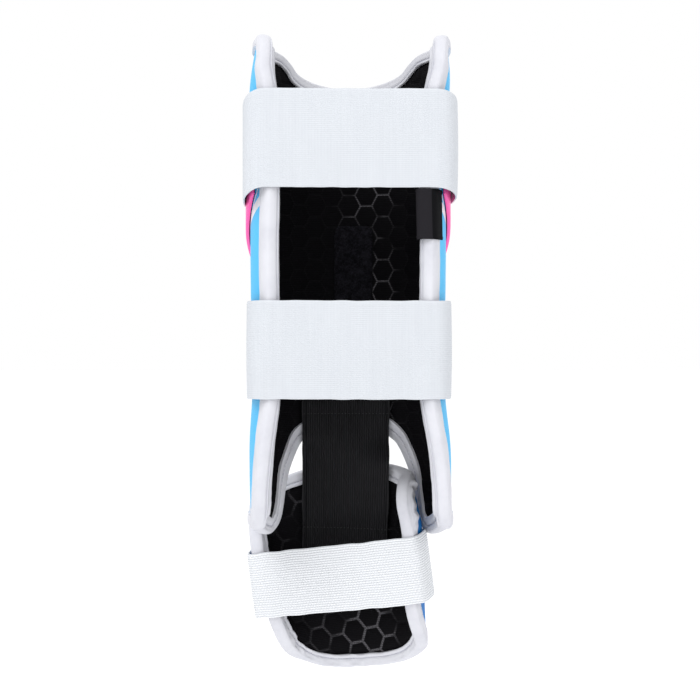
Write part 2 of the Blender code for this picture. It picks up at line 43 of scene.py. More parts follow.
# A batter's leg guard seen from its open back: shin guard, foot guard, elastics.
# Metres, +Z up the leg, +Y to the closed front. Around is a length over a guard's outer face
# from the middle of its front, and inset is measured inwards from that face.

mm = 0.001


# Sums that every piece uses

def curve(table, key, column):  # a smooth curve through one column of a table
    xs = np.array([row[key] for row in table])
    ys = np.array([row[column] for row in table])
    low, high = np.maximum(np.arange(len(xs)) - 1, 0), np.minimum(np.arange(len(xs)) + 1, len(xs) - 1)
    slopes = (ys[high] - ys[low]) / (xs[high] - xs[low])

    def at(share):
        share = np.clip(share, xs[0], xs[-1])
        i = np.clip(np.searchsorted(xs, share, side="left") - 1, 0, len(xs) - 2)
        step = xs[i + 1] - xs[i]
        t = (share - xs[i]) / step
        return ((1 + 2 * t) * (1 - t) ** 2 * ys[i] + t * (1 - t) ** 2 * step * slopes[i]
                + t * t * (3 - 2 * t) * ys[i + 1] + t * t * (t - 1) * step * slopes[i + 1])

    return at


def ease(t):
    t = np.clip(t, 0.0, 1.0)
    return t * t * (3 - 2 * t)


def rows(columns, *values):  # a table from named columns and its rows
    return [dict(zip(columns, row)) for row in values]


def unit(v):
    return v / np.maximum(np.linalg.norm(v, axis=-1, keepdims=True), 1e-12)


def travelled(path):  # how far along a path each of its points is
    return np.concatenate(([0.0], np.cumsum(np.linalg.norm(np.diff(path, axis=0), axis=1))))


def pointsAt(path, lengths, at):
    return np.stack([np.interp(at, lengths, column) for column in path.T], 1)


def evenPath(path, count):
    lengths = travelled(path)
    at = np.linspace(0, lengths[-1], count)
    return pointsAt(path, lengths, at), at


def drawnIn(count, even, drawn):  # -1 to 1, in steps that are smaller near both ends
    t = np.linspace(-1, 1, count)
    return even * t + drawn * np.sin(t * math.pi / 2)


def sheet(around, low, high, share):  # a grid between a lower and an upper edge
    height = low[:, None] + (high - low)[:, None] * share[None]
    return np.broadcast_to(around[:, None], height.shape), height


def hump(x, middle, wide):  # 1 at its middle, and almost 0 from twice its width on
    return np.exp(-((x - middle) / wide) ** 2)


def rounding(radius, distance):  # what a round corner takes off, this far from its side
    short = np.maximum(radius - distance, 0.0)
    return radius - np.sqrt(np.maximum(radius ** 2 - short ** 2, 0.0))


def ribs(x, pitch):  # 0 between two ribs and 1 on top of one
    return 0.5 - 0.5 * np.cos(2 * math.pi * x / pitch)


def ripple(x, seed, waves=5):  # a smooth uneven wave between about -1 and 1
    own = np.random.default_rng(seed)
    total = sum(np.sin(x * k + own.uniform(0, 2 * math.pi)) / k ** 0.5
                for k in own.uniform(0.5, 2.4, waves))
    return total / waves ** 0.5


# The two guards

wallForm = {
    "shell": 2.5 * mm, "pad": 6.2 * mm, "padEdge": 2.4 * mm, "padTaper": 13 * mm, "gap": 0.3 * mm,
    "foldGap": 1.1 * mm, "foldWall": 1.3 * mm, "padClear": 1.2 * mm, "roll": 2.4 * mm,
}
padBack = wallForm["shell"] + wallForm["gap"]  # inset of the pad's outer face

shinForm = {
    "high": 209 * mm, "low": -126.8 * mm, "half": 67 * mm, "front": 52 * mm, "rear": 46 * mm,
    "pull": 12 * mm, "dip": 23.4 * mm, "rise": 79 * mm, "topCorner": 18 * mm, "bottomCorner": 20 * mm,
    "binding": 9 * mm, "archBinding": 10.8 * mm, "topBinding": 6.2 * mm, "arched": True,
    "sections": rows(
        ("height", "width", "pull", "depth", "lean"),  # shares of the sizes above
        (0.000, 1.005, 0.44, 0.96, 0.020), (0.085, 1.028, 0.52, 0.97, 0.022),
        (0.160, 1.033, 0.74, 0.98, 0.020), (0.200, 1.026, 0.86, 0.99, 0.016),
        (0.240, 1.008, 0.96, 0.99, 0.010), (0.282, 0.992, 1.05, 1.00, 0.006),
        (0.380, 0.992, 1.14, 1.00, 0.000), (0.480, 0.998, 1.10, 1.00, 0.000),
        (0.575, 1.003, 1.09, 1.01, 0.000), (0.670, 1.004, 1.15, 1.02, 0.000),
        (0.795, 1.006, 1.20, 1.03, 0.000), (0.865, 1.018, 1.15, 1.04, 0.006),
        (0.904, 1.026, 0.94, 1.04, 0.014), (0.943, 1.015, 0.66, 1.05, 0.024),
        (1.000, 0.975, 0.56, 1.05, 0.034)),
    "topEdge": rows(
        ("around", "dip"), (0.0, 1.0), (0.09, 0.965), (0.172, 0.87), (0.23, 0.77), (0.309, 0.56),
        (0.36, 0.30), (0.43, 0.08), (0.54, 0.01), (1.0, 0.0)),
    "bottomEdge": rows(
        ("around", "rise"), (0.0, 1.0), (0.07, 0.985), (0.14, 0.935), (0.20, 0.875), (0.24, 0.83),
        (0.28, 0.765), (0.347, 0.539), (0.374, 0.382), (0.396, 0.215), (0.42, 0.1), (0.467, 0.022),
        (0.51, 0.0), (0.61, 0.05), (0.667, 0.087), (0.80, 0.106), (1.0, 0.106)),
}

footForm = {
    "high": 72 * mm, "low": -72 * mm, "half": 61 * mm, "front": 27 * mm, "rear": 20 * mm,
    "pull": 2 * mm, "dip": 13 * mm, "rise": 30 * mm, "topCorner": 20 * mm, "bottomCorner": 24 * mm,
    "binding": 7.4 * mm, "arched": False,
    "sections": rows(
        ("height", "width", "pull", "depth", "lean"),  # shares of the sizes above
        (0.00, 0.77, 1.0, 0.94, 0.02), (0.12, 0.84, 1.0, 0.97, 0.02), (0.28, 0.89, 1.0, 1.0, 0.01),
        (0.46, 0.94, 1.0, 1.0, 0.0), (0.66, 0.99, 1.0, 1.0, 0.0), (0.85, 0.96, 1.0, 1.0, 0.0),
        (1.00, 0.92, 1.0, 1.0, 0.0)),
    "topEdge": rows(("around", "dip"), (0.0, 0.0), (0.25, 0.1), (0.5, 0.4), (0.75, 0.8), (1.0, 1.0)),
    "bottomEdge": rows(("around", "rise"), (0.0, 0.0), (0.25, 0.02), (0.5, 0.14), (0.75, 0.5), (1.0, 1.0)),
}
footPlace = {"at": Vector((-2.2, 31.0, -155.8)) * mm, "roll": math.radians(7.5), "yaw": math.radians(18)}
footTurn = Matrix.Translation(footPlace["at"]) @ Euler((0, -footPlace["roll"], 0)).to_matrix().to_4x4() \
    @ Euler((0, 0, -footPlace["yaw"])).to_matrix().to_4x4()


class Guard:  # one curved padded sheet with an outline

    def __init__(self, form, turn=None):
        self.form, self.turn = form, turn
        self.high, self.low = form["high"], form["low"]
        self.width, self.pull, self.depth, self.lean = (
            curve(form["sections"], "height", key) for key in ("width", "pull", "depth", "lean"))
        self.dipAt = curve(form["topEdge"], "around", "dip")
        self.riseAt = curve(form["bottomEdge"], "around", "rise")
        steps = 60  # as the CAD solids measure it
        angles = (np.arange(steps) + 0.5) / steps * math.pi / 2
        speed = np.hypot(form["half"] * np.cos(angles), form["front"] * np.sin(angles))
        self.arc = np.concatenate(([0.0], np.cumsum(speed * math.pi / 2 / steps)))
        self.turns = np.linspace(0, math.pi / 2, steps + 1)
        self.girth = self.arc[-1] + form["rear"]

    def outer(self, around, height):
        form = self.form
        share = (height - self.low) / (self.high - self.low)
        half, lean = form["half"] * self.width(share), form["half"] * self.lean(share)
        side, length = np.where(around < 0, -1.0, 1.0), np.abs(around)
        angle = np.interp(length, self.arc, self.turns)
        back = (length - self.arc[-1]) / form["rear"]
        x = np.where(back <= 0, half * np.sin(angle), half - form["pull"] * self.pull(share) * back ** 2)
        y = np.where(back <= 0, form["front"] * self.depth(share) * np.cos(angle), -form["rear"] * back)
        return np.stack(np.broadcast_arrays(lean + side * x, y, height), axis=-1)

    def normal(self, around, height, step=0.8 * mm):
        across = self.outer(around + step, height) - self.outer(around - step, height)
        up = self.outer(around, height + step) - self.outer(around, height - step)
        return unit(np.cross(up, across))

    def point(self, around, height, inset):
        around, height, inset = np.broadcast_arrays(around, height, inset)
        return self.outer(around, height) - self.normal(around, height) * inset[..., None]

    def top(self, around):
        edge = self.high - self.form["dip"] * self.dipAt(np.abs(around) / self.girth)
        return edge - rounding(self.form["topCorner"], self.girth - np.abs(around))

    def bottom(self, around):
        edge = self.low + self.form["rise"] * self.riseAt(np.abs(around) / self.girth)
        return edge + rounding(self.form["bottomCorner"], self.girth - np.abs(around))

    def outline(self, spacing):  # evenly spaced points round the edge, with the way out
        around = self.girth * np.sin(np.linspace(-1, 1, 1201) * math.pi / 2)  # closest at the corners
        low, high = self.bottom(around), self.top(around)
        side = np.linspace(0, 1, 60)[1:-1]
        right = np.full(len(side), self.girth)
        loop = np.concatenate([
            np.stack([around, low], 1),
            np.stack([right, low[-1] + (high[-1] - low[-1]) * side], 1),
            np.stack([around[::-1], high[::-1]], 1),
            np.stack([-right, high[0] + (low[0] - high[0]) * side], 1)])
        closed = np.vstack([loop, loop[:1]])
        lengths = travelled(closed)
        count = int(lengths[-1] / spacing)
        at = np.arange(count) / count * lengths[-1]
        loop = pointsAt(closed, lengths, at)
        along = unit(np.roll(loop, -1, 0) - np.roll(loop, 1, 0))
        along = unit(np.roll(along, 1, 0) + along + np.roll(along, -1, 0))
        return loop, np.stack([along[:, 1], -along[:, 0]], 1), at

    def edgeDistance(self, around, height):  # how far points are from the edge, on the flat
        loop = self.outline(2.5 * mm)[0]
        flat = np.stack([around.ravel(), height.ravel()], 1)
        near = [np.sqrt(((part[:, None] - loop[None]) ** 2).sum(2).min(1))
                for part in np.array_split(flat, 40)]  # in parts, to spare the memory
        return np.concatenate(near).reshape(around.shape)

    def padFace(self, distance):  # inset of the pad's inner face
        walls = wallForm
        thick = walls["padEdge"] + (walls["pad"] - walls["padEdge"]) * ease(distance / walls["padTaper"])
        return padBack + thick

    def grid(self, columns, tall):  # columns and rows over the whole guard, finer at its edges
        around = self.girth * drawnIn(columns, 0.55, 0.45)
        share = (1 + drawnIn(tall, 0.5, 0.5)) / 2
        return sheet(around, self.bottom(around), self.top(around), share)

    def placed(self, points):  # from the guard's own frame to the object's
        if self.turn is None:
            return points
        turn = np.array(self.turn)
        return points @ turn[:3, :3].T + turn[:3, 3]


shin, foot = Guard(shinForm), Guard(footForm, footTurn)


# Meshes

def newPiece(name, points, faces, uvs, material, slot, replaced=(), flat=50):
    mesh = bpy.data.meshes.new(name)
    mesh.from_pydata(points.reshape(-1, 3).tolist(), [], faces)
    layer = mesh.uv_layers.new(name="metres")
    corners = np.empty(len(mesh.loops), dtype=np.int32)
    mesh.loops.foreach_get("vertex_index", corners)
    layer.data.foreach_set("uv", uvs.reshape(-1, 2)[corners].ravel())
    work = bmesh.new()
    work.from_mesh(mesh)
    bmesh.ops.recalc_face_normals(work, faces=work.faces)
    work.to_mesh(mesh)
    work.free()
    mesh.shade_smooth()
    mesh.set_sharp_from_angle(angle=math.radians(flat))
    mesh.materials.append(material)
    piece = bpy.data.objects.new(name, mesh)
    bpy.context.collection.objects.link(piece)
    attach(piece, "root")
    if replaced:
        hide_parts(*replaced)
    return piece


def wallFaces(wide, tall):  # faces of a closed wall between two grids
    i, j = np.meshgrid(np.arange(wide - 1), np.arange(tall - 1), indexing="ij")
    a = (i * tall + j).ravel()
    front = np.stack([a, a + tall, a + tall + 1, a + 1], 1)
    back = front[:, ::-1] + wide * tall
    rim = [k * tall for k in range(wide)] + [(wide - 1) * tall + k for k in range(1, tall)]
    rim += [k * tall + tall - 1 for k in range(wide - 2, -1, -1)] + list(range(tall - 2, 0, -1))
    rim = np.array(rim)
    after = np.roll(rim, -1)
    edge = np.stack([rim, rim + wide * tall, after + wide * tall, after], 1)
    return np.concatenate([front, back, edge]).tolist()


def wallPiece(name, outer, inner, across, up, material, slot, replaced, **more):
    uv = np.stack(np.broadcast_arrays(across, up), -1)
    return newPiece(name, np.stack([outer, inner]), wallFaces(*outer.shape[:2]), np.stack([uv, uv]),
                    material, slot, replaced, **more)


def sweepPiece(name, rings, uv, material, slot, replaced, **more):  # rings joined into a closed loop
    count, sides = rings.shape[:2]
    i, k = np.meshgrid(np.arange(count), np.arange(sides), indexing="ij")
    i, k = i.ravel(), k.ravel()
    ring, after = i * sides, (i + 1) % count * sides
    beside = (k + 1) % sides
    faces = np.stack([ring + k, after + k, after + beside, ring + beside], 1).tolist()
    newPiece(name, rings, faces, uv, material, slot, replaced, **more)


def stitches(name, centres, along, normals, size, material, slot):  # a row of small beads, one mesh
    long, wide, tall = size
    sides = 6
    last = 2 * sides + 1
    across = np.cross(normals, along)
    bead = [centres - along * long / 2]
    for part in (-0.36, 0.36):
        bead += [centres + along * long * part + across * math.cos(turn) * wide / 2
                 + normals * math.sin(turn) * tall / 2 for turn in np.arange(sides) * math.pi / (sides / 2)]
    bead.append(centres + along * long / 2)
    points = np.stack(bead, 1)
    one = []
    for k in range(sides):
        a, b = 1 + k, 1 + (k + 1) % sides
        one += [(0, b, a), (a, b, b + sides, a + sides), (last, a + sides, b + sides)]
    faces = [tuple(n * (last + 1) + v for v in face) for n in range(len(centres)) for face in one]
    newPiece(name, points, faces, points[..., :2], material, slot)


# Materials

class Wire:  # a socket that takes part in sums

    def __init__(self, tree, socket=None):
        self.tree, self.socket = tree, socket

    def add(self, kind, settings=None, inputs=None, out=0):  # any node: settings first, then sockets
        node = self.tree.nodes.new(kind)
        for key, value in (settings or {}).items():
            setattr(node, key, value)
        for key, value in (inputs or {}).items():
            if isinstance(value, Wire):
                self.tree.links.new(value.socket, node.inputs[key])
            else:
                node.inputs[key].default_value = value
        return Wire(self.tree, node.outputs[out])

    def maths(self, operation, *values):
        return self.add("ShaderNodeMath", {"operation": operation}, dict(enumerate(values)))

    def __add__(self, other):
        return self.maths("ADD", self, other)

    def __sub__(self, other):
        return self.maths("SUBTRACT", self, other)

    def __rsub__(self, other):
        return self.maths("SUBTRACT", other, self)

    def __mul__(self, other):
        return self.maths("MULTIPLY", self, other)

    def __truediv__(self, other):
        return self.maths("DIVIDE", self, other)

    def __abs__(self):
        return self.maths("ABSOLUTE", self)

    __radd__, __rmul__ = __add__, __mul__

    def fract(self):
        return self.maths("FRACT", self)

    def wave(self, pitch, shift=0.0):  # 0 to 1 and back over each pitch
        return self.maths("SINE", self * (2 * math.pi / pitch) + shift) * 0.5 + 0.5

    def least(self, other):
        return self.maths("MINIMUM", self, other)

    def most(self, other):
        return self.maths("MAXIMUM", self, other)

    def between(self, low, high):  # eases from 0 at low to 1 at high
        return self.add("ShaderNodeMapRange", {"interpolation_type": "SMOOTHSTEP"},
                        {0: self, 1: low, 2: high, 3: 0.0, 4: 1.0})

    def noise(self, scale, detail, rough, where):
        return self.add("ShaderNodeTexNoise", {},
                        {"Scale": scale, "Detail": detail, "Roughness": rough, "Vector": where})

    def mix(self, share, *pair):  # two colours: names from the table, or other nodes
        first, second = ((*colours[part], 1) if isinstance(part, str) else part for part in pair)
        return self.add("ShaderNodeMix", {"data_type": "RGBA"}, {0: share, 6: first, 7: second}, out=2)


def newMaterial(name, build, roughness, specular=0.5, glow=0.0):
    material = bpy.data.materials.new(name)
    material.use_nodes = True
    tree = material.node_tree
    shader = tree.nodes["Principled BSDF"]
    shader.inputs["Roughness"].default_value = roughness
    shader.inputs["Specular IOR Level"].default_value = specular
    shader.inputs["Emission Strength"].default_value = glow
    wire = Wire(tree)
    uv = wire.add("ShaderNodeUVMap", {"uv_map": "metres"})
    around = wire.add("ShaderNodeSeparateXYZ", {}, {0: uv})
    height = wire.add("ShaderNodeSeparateXYZ", {}, {0: uv}, out=1)
    place = wire.add("ShaderNodeTexCoord", {}, {}, out=3)
    for key, value in build(wire, around, height, place).items():
        if key == "bump":
            key = "Normal"
            value = wire.add("ShaderNodeBump", {}, dict(zip(("Strength", "Distance", "Height"), value)))
        tree.links.new(value.socket, shader.inputs[key])
    return material


colours = {
    # the darker white is painted shade for the grooves of the knit elastic
    "white": (0.575, 0.598, 0.632), "whiteGrooveShade": (0.435, 0.455, 0.495),
    # the darker coarse colour is painted shade for the grooves of the foot strap's elastic
    "coarse": (0.76, 0.775, 0.80), "coarseGrooveShade": (0.54, 0.56, 0.59),
    "tape": (0.605, 0.61, 0.65), "tapeDip": (0.50, 0.505, 0.555),
    "black": (0.0011, 0.0010, 0.0014), "blackLit": (0.0048, 0.0043, 0.0060),
    # the hexagon line colour is a painted sheen on the lining
    "hexSheen": (0.125, 0.121, 0.132),
    "rib": (0.0030, 0.0030, 0.0040), "ribLit": (0.0145, 0.0145, 0.017),
    "pile": (0.003, 0.003, 0.004), "pileLit": (0.022, 0.021, 0.028),
    "blue": (0.058, 0.46, 0.80), "blueDip": (0.042, 0.40, 0.73),
    "deepBlue": (0.003, 0.17, 0.50), "deepBlueDip": (0.002, 0.13, 0.42),
    "pink": (0.93, 0.115, 0.405), "pinkDip": (0.90, 0.10, 0.37), "stripe": (0.70, 0.70, 0.74),
    "label": (0.0145, 0.0135, 0.0165), "labelEdge": (0.003, 0.003, 0.004),
    "thread": (0.48, 0.48, 0.56), "threadDip": (0.28, 0.28, 0.35),
    "darkThread": (0.03, 0.03, 0.034), "darkThreadDip": (0.012, 0.012, 0.014),
    "floor": (0.90, 0.90, 0.905), "floorLit": (0.93, 0.93, 0.935),
}

elasticForm = {"row": 1.3 * mm, "stitch": 0.95 * mm, "footRow": 1.65 * mm, "footDash": 2.1 * mm,
               "rib": 1.62 * mm, "pick": 1.1 * mm}


def fineElastic(wire, along, across, place):
    row = across.wave(elasticForm["row"])
    knit = along.wave(elasticForm["stitch"])
    flat = wire.add("ShaderNodeCombineXYZ", {}, {0: along * 260.0, 1: across * 22.0})
    streak = wire.noise(1.0, 2.0, 0.5, flat)
    relief = row * 0.55 + knit * 0.35 + streak * 0.2
    # painted shade: darker in the grooves between rows and stitches, plus random streaks
    tone = (row * 0.5 + knit * 0.35 + streak * 0.5).between(0.1, 1.0)
    return {"Base Color": wire.mix(tone * 0.5 + 0.5, "whiteGrooveShade", "white"),
            "bump": (0.28, 0.3 * mm, relief)}


def coarseElastic(wire, along, across, place):
    row = across.wave(elasticForm["footRow"])
    step = wire.maths("FLOOR", across / elasticForm["footRow"] + 0.25)
    dash = along.wave(elasticForm["footDash"], step * 2.4)
    drift = wire.noise(60.0, 2.0, 0.5, place)
    relief = row * 0.75 + dash * row * 0.25 + drift * 0.2
    # painted shade: darker in the grooves between rows, darkest in small dots there
    dots = (1 - row) * dash.between(0.5, 0.9)
    tone = row.between(0.0, 0.5) * (1 - dots)
    return {"Base Color": wire.mix(tone, "coarseGrooveShade", "coarse"),
            "bump": (0.8, 0.45 * mm, relief)}


def ribElastic(wire, across, along, place):  # the link elastic: ribs run along it
    rib = across.wave(elasticForm["rib"])
    pick = along.wave(elasticForm["pick"], across * (math.pi / elasticForm["rib"]))
    drift = wire.noise(30.0, 3.0, 0.6, place)
    relief = rib * 0.8 + pick * rib * 0.2
    tone = (rib * 0.7 + pick * 0.15 + drift * 0.5).between(0.3, 1.2)
    return {"Base Color": wire.mix(tone, "rib", "ribLit"),
            "bump": (0.9, 0.5 * mm, relief)}


liningForm = {"knit": 1.3 * mm, "mesh": 1 * mm, "grooveShare": 0.22, "swell": 0.35 * mm,
              "swellAround": 19 * mm, "swellUp": 24 * mm, "rim": 4 * mm, "fade": 8 * mm}
shinHexagons = {  # line: half a line's width, middle: of one hexagon, sheen: the band round the guard where the lines get a painted sheen
    "pitch": 15.5 * mm, "squash": 1.02, "line": 0.85 * mm, "middle": (1.9 * mm, 10.3 * mm), "tilt": 0.0,
    "groove": 0.7 * mm, "sheen": (-12 * mm, 14 * mm, 26 * mm, 48 * mm)}
footHexagons = {
    "pitch": 16.7 * mm, "squash": 1.15, "line": 1.35 * mm, "middle": (5.8 * mm, -4.6 * mm),
    "tilt": math.radians(6), "groove": 0.9 * mm, "sheen": (-75 * mm, 12 * mm, 26 * mm, 42 * mm)}


def hexNear(around, height, hexagons, fract, most, least):  # 0 on an edge, half the height at a middle
    pitch, squash, middle, tilt = (hexagons[key] for key in ("pitch", "squash", "middle", "tilt"))
    radius = pitch / math.sqrt(3)
    over, up = around - middle[0], height - middle[1]
    wide = (over * math.cos(tilt) + up * math.sin(tilt)) / squash
    tall = up * math.cos(tilt) - over * math.sin(tilt)
    cells = []
    for shiftX, shiftY in ((0.0, 0.0), (1.5 * radius, pitch / 2)):
        a = abs(fract((wide + shiftX) / (3 * radius)) - 0.5) * (3 * radius)
        b = abs(fract((tall + shiftY) / pitch) - 0.5) * pitch
        cells.append(most(b, b * 0.5 + a * (math.sqrt(3) / 2)))
    return pitch / 2 - least(*cells)


def liningBuild(hexagons):
    line, sheen = hexagons["line"], hexagons["sheen"]

    def build(wire, around, height, place):
        edge = hexNear(around, height, hexagons, Wire.fract, Wire.most, Wire.least)
        seam = 1 - edge.between(line * 0.35, line)
        knit = height.wave(liningForm["knit"], wire.noise(220.0, 1.0, 0.5, place) * 1.6)
        mesh = around.wave(liningForm["mesh"], height * (math.pi / liningForm["knit"]))
        drift = wire.noise(34.0, 3.0, 0.6, place)
        # painted sheen: the hexagon lines are coloured lighter only in a band round the guard, in spots, and
        # barely elsewhere
        lit = around.between(sheen[0], sheen[1]) * (1 - around.between(sheen[2], sheen[3]))
        dots = wire.noise(1500.0, 1.0, 0.5, place).between(0.35, 0.6)
        sheenOnLines = seam * (lit * drift.between(0.38, 0.60) * 0.95 + 0.03) \
            * (dots * 0.6 + 0.4) * (knit * 0.7 + 0.5)
        ground = wire.mix((knit * 0.6 + mesh * 0.4).between(0.2, 1.0), "black", "blackLit")
        return {"Base Color": wire.mix(sheenOnLines, ground, "hexSheen"),
                "Roughness": 0.72 - sheenOnLines * 0.25,
                "bump": (0.6, 0.5 * mm, knit * 0.35 + mesh * 0.2 - seam * 0.5)}

    return build


def patchBuild(wire, around, height, place):
    fuzz = wire.noise(900.0, 4.0, 0.7, place)
    clump = wire.noise(260.0, 3.0, 0.6, place)
    tone = (fuzz * 0.7 + clump * 0.5).between(0.45, 0.85)
    return {"Base Color": wire.mix(tone, "pile", "pileLit"),
            "bump": (1.0, 0.8 * mm, fuzz + clump)}


def tapeBuild(wire, along, across, place):
    weave = along.wave(0.75 * mm) * 0.5 + across.wave(0.75 * mm) * 0.5
    drift = wire.noise(55.0, 3.0, 0.6, place)
    tone = (drift * 0.8 + weave * 0.35).between(0.15, 0.75)
    return {"Base Color": wire.mix(tone, "tapeDip", "tape"),
            "bump": (0.25, 0.3 * mm, weave * 0.5 + drift)}


plateForm = {"top": 172 * mm, "cornerTop": 148 * mm, "cornerLow": 105 * mm, "point": -20 * mm,
             "reach": 120 * mm, "thick": 2.4 * mm, "gap": 0.8 * mm, "bevel": 1.6 * mm, "round": 0.9,
             "slope": 0.69, "lineGap": 0.5 * mm, "line": 1.5 * mm, "soft": 0.2 * mm,
             "bandAt": (104 * mm, 88.7 * mm), "bandSlope": 0.46, "band": 3.4 * mm}


def clothBuild(name, striped):
    def build(wire, around, height, place):
        weave = (around + height).wave(0.8 * mm) * 0.5 + (around - height).wave(0.8 * mm) * 0.5
        drift = wire.noise(30.0, 4.0, 0.6, place)
        tone = (weave * 0.4 + drift * 0.8).between(0.2, 1.0)
        cloth = wire.mix(tone, name + "Dip", name)
        if striped:
            form = plateForm
            lower = abs(around) / form["reach"] * (form["cornerLow"] - form["point"]) + form["point"]
            below = (lower - height) * form["slope"]  # square to the plate's sloping lower edge
            start, soft = form["lineGap"], form["soft"]
            end = start + form["line"]
            thin = below.between(start, start + soft) * (1 - below.between(end, end + soft))
            line = (abs(around) - form["bandAt"][0]) * form["bandSlope"] + form["bandAt"][1]
            wide = 1 - abs(height - line).between(form["band"] - soft, form["band"])
            cloth = wire.mix(thin.most(wide), cloth, "stripe")
        return {"Base Color": cloth, "bump": (0.25, 0.25 * mm, weave)}

    return build


def plateBuild(wire, around, height, place):
    drift = wire.noise(18.0, 4.0, 0.6, place)
    grain = wire.noise(700.0, 2.0, 0.5, place)
    return {"Base Color": wire.mix(drift.between(0.25, 0.6), "pinkDip", "pink"),
            "Roughness": drift * 0.2 + 0.38, "bump": (0.12, 0.2 * mm, grain)}


def threadBuild(name):
    def build(wire, around, height, place):
        twist = wire.noise(1400.0, 2.0, 0.5, place)
        return {"Base Color": wire.mix(twist, name + "Dip", name),
                "bump": (0.3, 0.2 * mm, twist)}

    return build


def labelBuild(wire, around, height, place):
    weave = around.wave(0.7 * mm) * 0.5 + height.wave(0.7 * mm) * 0.5
    edge = around.between(26.2 * mm, 26.8 * mm)  # darker from here on round the fold
    return {"Base Color": wire.mix(edge, "label", "labelEdge"),
            "bump": (0.5, 0.25 * mm, weave)}


materials = {key: newMaterial(*row) for key, *row in (  # build, roughness and specular
    ("elastic", "white_elastic_knit", fineElastic, 0.9, 0.2),
    ("footElastic", "white_elastic_coarse", coarseElastic, 0.9, 0.2),
    ("ribbed", "black_elastic_ribbed", ribElastic, 0.6, 0.22),
    ("tape", "binding_tape", tapeBuild, 0.75, 0.2),
    ("lining", "lining_hexagons", liningBuild(shinHexagons), 0.8, 0.07),
    ("footLining", "lining_large_hexagons", liningBuild(footHexagons), 0.8, 0.07),
    ("patch", "loop_pile", patchBuild, 0.95, 0.07),
    ("blue", "blue_cloth", clothBuild("blue", True), 0.5, 0.3),
    ("footBlue", "deep_blue_cloth", clothBuild("deepBlue", False), 0.5, 0.15),
    ("pink", "pink_moulding", plateBuild, 0.42),
    ("label", "label_weave", labelBuild, 0.8, 0.08),
    ("thread", "white_thread", threadBuild("thread"), 0.6),
    ("darkThread", "black_thread", threadBuild("darkThread"), 0.5),
)}
print("materials made:", len(materials))


# Covers and linings

coverForm = {"pinch": 0.35 * mm, "band": 6 * mm}  # the cloth is drawn in under the binding


def addCover(guard, name, node, material, columns, tall):
    around, height = guard.grid(columns, tall)
    pinch = coverForm["pinch"] * (1 - ease(guard.edgeDistance(around, height) / coverForm["band"]))
    outer = guard.placed(guard.point(around, height, pinch))
    inner = guard.placed(guard.point(around, height, wallForm["shell"]))
    wallPiece(name, outer, inner, around, height, material, "blue_cover", (node,))


def addLining(guard, name, node, material, columns, tall, hexagons, seed):
    form = liningForm
    around, height = guard.grid(columns, tall)
    edge = guard.edgeDistance(around, height)
    near = hexNear(around, height, hexagons, lambda x: x % 1.0, np.maximum, np.minimum)
    relief = hexagons["groove"] * (1 - ease(near / (hexagons["pitch"] * form["grooveShare"])))
    swell = form["swell"] * ripple(around / form["swellAround"], seed) \
        * ripple(height / form["swellUp"], seed + 1)
    inset = guard.padFace(edge) + (swell - relief) * ease((edge - form["rim"]) / form["fade"])
    outer = guard.placed(guard.point(around, height, padBack))
    inner = guard.placed(guard.point(around, height, inset))
    piece = wallPiece(name, outer, inner, around, height, material, "black_pad", (node,))


addCover(shin, "shin_cover", "shin_shell", materials["blue"], columns=96, tall=70)
addCover(foot, "foot_cover", "foot_shell", materials["footBlue"], columns=60, tall=44)
addLining(shin, "shin_lining", "shin_pad", materials["lining"], 150, 170, shinHexagons, seed=11)
addLining(foot, "foot_lining", "foot_pad", materials["footLining"], 90, 84, footHexagons, seed=21)
print("covers and linings made")


# Binding: a rolled tape with a sewn groove and a thin ridge at its inner border

bindingForm = {
    # share of the width in from the edge, share of the fold's wall that it stands up
    "outer": rows(("share", "lift"), (1.0, -0.80), (0.985, 0.2), (0.95, 0.85), (0.88, 0.80), (0.83, 0.45),
                  (0.78, 0.85), (0.62, 1.15), (0.4, 1.30), (0.2, 1.25), (0.05, 1.05)),
    "inner": rows(  # part: 0.5 at the sewn groove, then the ridge
        ("part", "lift", "ridge"), (0.06, 1.0, 0.0), (0.2, 1.2, 0.0), (0.34, 1.2, 0.0), (0.43, 0.85, 0.0),
        (0.5, 0.25, 0.0), (0.56, 0.7, 0.6), (0.64, 1.0, 1.0), (0.74, 1.1, 0.8), (0.86, 1.0, 0.4),
        (0.96, 0.7, 0.1), (1.0, -0.8, 0.0)),
    # on the way round the edge: middle, width and depth of a groove, and of a ridge
    "turn": 13, "round": 0.8, "notch": (2.30, 0.13, 0.50), "lip": (2.62, 0.16, 0.18),
    "spacing": 1.7 * mm, "stitch": 2.6 * mm, "thread": (1.5 * mm, 0.6 * mm, 0.5 * mm), "proud": 0.45 * mm,
    "seam": 0.81, "footSeam": 0.58, "topSeam": 0.62, "archSeam": 0.36, "sideSeam": 0.15,
    "sideRidge": 1.6, "ridge": 0.15, "sideFrom": 0.90, "sideFade": 0.08,
    "archEnd": 0.55, "archFade": 0.10, "topFade": 12 * mm,
    "wobble": 4.5 * mm, "fineWobble": 1.9 * mm, "sway": 0.035, "swayLong": 7 * mm,
    "gather": 0.45, "gatherLong": 2.6 * mm, "gatherFrom": 35 * mm, "gatherFade": 15 * mm,
    "loose": 1.1, "looseWave": 0.25, "looseLong": 2.2 * mm, "looseFrom": 22 * mm, "looseFade": 12 * mm,
}


def bindingWidth(guard, around, height):
    form = guard.form
    plain = form["binding"]
    if not form["arched"]:
        return np.full(len(around), plain)
    upper = height - form["high"] + form["dip"]
    share = np.abs(around) / guard.girth
    arch = ease((bindingForm["archEnd"] - share) / bindingForm["archFade"]) * (height < 0)
    atTop = ease(upper / bindingForm["topFade"])
    return np.where(upper > 0, plain + (form["topBinding"] - plain) * atTop,
                    plain + (form["archBinding"] - plain) * arch)


